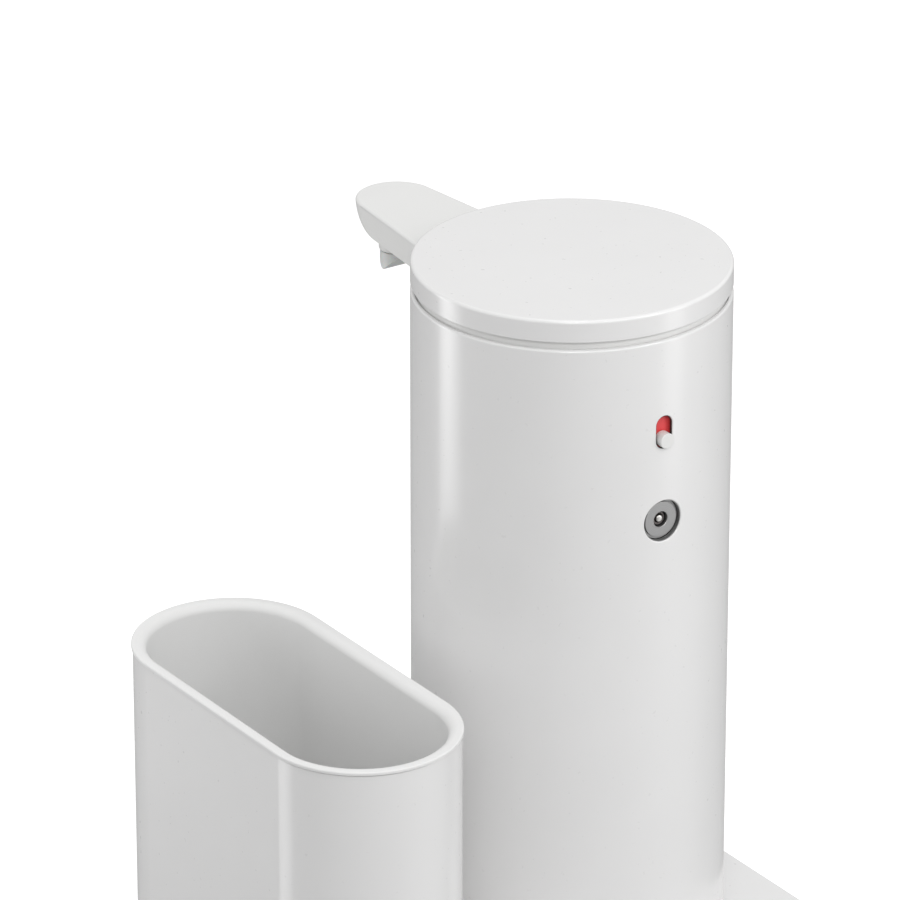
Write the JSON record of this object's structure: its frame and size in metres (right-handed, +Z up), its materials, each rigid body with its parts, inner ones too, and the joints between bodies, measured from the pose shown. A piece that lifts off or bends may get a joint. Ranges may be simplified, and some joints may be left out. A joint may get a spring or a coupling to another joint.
{
  "type": "automatic soap dispenser",
  "caption": "Round touch-free soap dispenser with a side spout, lift-off lid and inner pump, on a caddy tray with a stadium-shaped brush cup.",
  "frame": {"origin": "on the surface the caddy stands on, under the dispenser's vertical axis", "axes": "+Z up; the spout points along -Y; the cup stands at +X; the charging port and power switch face +Y"},
  "size_m": [0.168, 0.149, 0.199],
  "materials": {
    "painted_steel": "satin white powder coat on sheet steel",
    "white_plastic": "white satin moulding",
    "liner_plastic": "white satin liner",
    "clear_plastic": "clear tank plastic",
    "natural_plastic": "unpainted inner moulding",
    "black_plastic": "black moulding",
    "red_plastic": "red slide plate behind the switch slot",
    "tinted_plastic": "dark infrared window",
    "silicone": "grey silicone",
    "tube_silicone": "milky silicone tube",
    "steel": "plain steel",
    "brass": "turned brass",
    "board": "printed circuit board",
    "cell_wrap": "wrapped round cell"
  },
  "bodies": {
    "caddy": {"caddy_pad": "silicone", "caddy_tray": "painted_steel", "tray_core": "natural_plastic", "cup_sleeve": "painted_steel", "cup_screw_1": "steel", "cup_screw_2": "steel"},
    "liner": {"cup_liner": "liner_plastic"},
    "dispenser": {"foot_ring": "silicone", "base_cover": "white_plastic", "base_screw_1": "steel", "base_screw_2": "steel", "base_screw_3": "steel", "body_sleeve": "painted_steel", "chassis": "natural_plastic", "neck_ring": "white_plastic", "soap_tank": "clear_plastic", "fill_funnel": "white_plastic", "spout_shell": "white_plastic", "spout_screw_1": "steel", "spout_screw_2": "steel", "spout_under_cover": "white_plastic", "sensor_window": "tinted_plastic", "sensor_board": "board", "ir_emitter": "tinted_plastic", "ir_receiver": "tinted_plastic", "nozzle_collar": "white_plastic", "duckbill_valve": "silicone", "switch_body": "black_plastic", "charge_housing": "black_plastic", "charge_disc": "steel", "charge_magnet": "steel", "charge_insulator": "black_plastic", "charge_pin": "brass", "main_board": "board", "gear_deck": "natural_plastic", "motor_can": "steel", "idler_axle": "steel", "pump_housing": "white_plastic", "pump_cover": "clear_plastic", "pump_tube": "tube_silicone", "intake_tube": "tube_silicone", "delivery_tube": "tube_silicone", "battery_holder": "black_plastic", "battery_cell": "cell_wrap", "battery_lead": "black_plastic", "motor_lead": "black_plastic"},
    "lid": {"lid_cap": "painted_steel", "lid_plug": "white_plastic", "lid_gasket": "silicone"},
    "power_switch": {"switch_button": "white_plastic", "switch_plate": "red_plastic"},
    "rotor": {"pump_rotor": "natural_plastic", "rotor_shaft": "steel", "output_gear": "white_plastic"},
    "idler": {"idler_gear": "white_plastic"},
    "motor_spindle": {"motor_shaft": "steel", "motor_pinion": "brass"},
    "roller_one": {"roller_1": "white_plastic"},
    "roller_two": {"roller_2": "white_plastic"},
    "roller_three": {"roller_3": "white_plastic"}
  },
  "joints": [
    {"name": "liner_lift", "type": "slide", "parent": "caddy", "child": "liner", "axis": [0, 0, 1], "range_m": [0, 0.095]},
    {"name": "dispenser_lift", "type": "slide", "parent": "caddy", "child": "dispenser", "axis": [0, 0, 1], "range_m": [0, 0.1]},
    {"name": "lid_lift", "type": "slide", "parent": "dispenser", "child": "lid", "axis": [0, 0, 1], "range_m": [0, 0.03]},
    {"name": "power_slide", "type": "slide", "parent": "dispenser", "child": "power_switch", "axis": [0, 0, 1], "range_m": [0, 0.004]},
    {"name": "rotor_spin", "type": "hinge", "parent": "dispenser", "child": "rotor", "pos_m": [0, -0.015, 0.055], "axis": [0, 0, 1], "continuous": true},
    {"name": "idler_spin", "type": "hinge", "parent": "dispenser", "child": "idler", "pos_m": [-0.00778, 0.00168, 0.055], "axis": [0, 0, 1], "continuous": true},
    {"name": "motor_spin", "type": "hinge", "parent": "dispenser", "child": "motor_spindle", "pos_m": [-0.02126, 0.01299, 0.052], "axis": [0, 0, 1], "continuous": true},
    {"name": "roller_spin_1", "type": "hinge", "parent": "rotor", "child": "roller_one", "pos_m": [0, -0.0068, 0.0695], "axis": [0, 0, 1], "continuous": true},
    {"name": "roller_spin_2", "type": "hinge", "parent": "rotor", "child": "roller_two", "pos_m": [-0.0071, -0.0191, 0.0695], "axis": [0, 0, 1], "continuous": true},
    {"name": "roller_spin_3", "type": "hinge", "parent": "rotor", "child": "roller_three", "pos_m": [0.0071, -0.0191, 0.0695], "axis": [0, 0, 1], "continuous": true}
  ],
  "couplings": [
    {"joint": "idler_spin", "follows": "rotor_spin", "ratio": -2.8333},
    {"joint": "motor_spin", "follows": "rotor_spin", "ratio": 7.5556},
    {"joint": "roller_spin_1", "follows": "rotor_spin", "ratio": -3.6562},
    {"joint": "roller_spin_2", "follows": "rotor_spin", "ratio": -3.6562},
    {"joint": "roller_spin_3", "follows": "rotor_spin", "ratio": -3.6562}
  ]
}
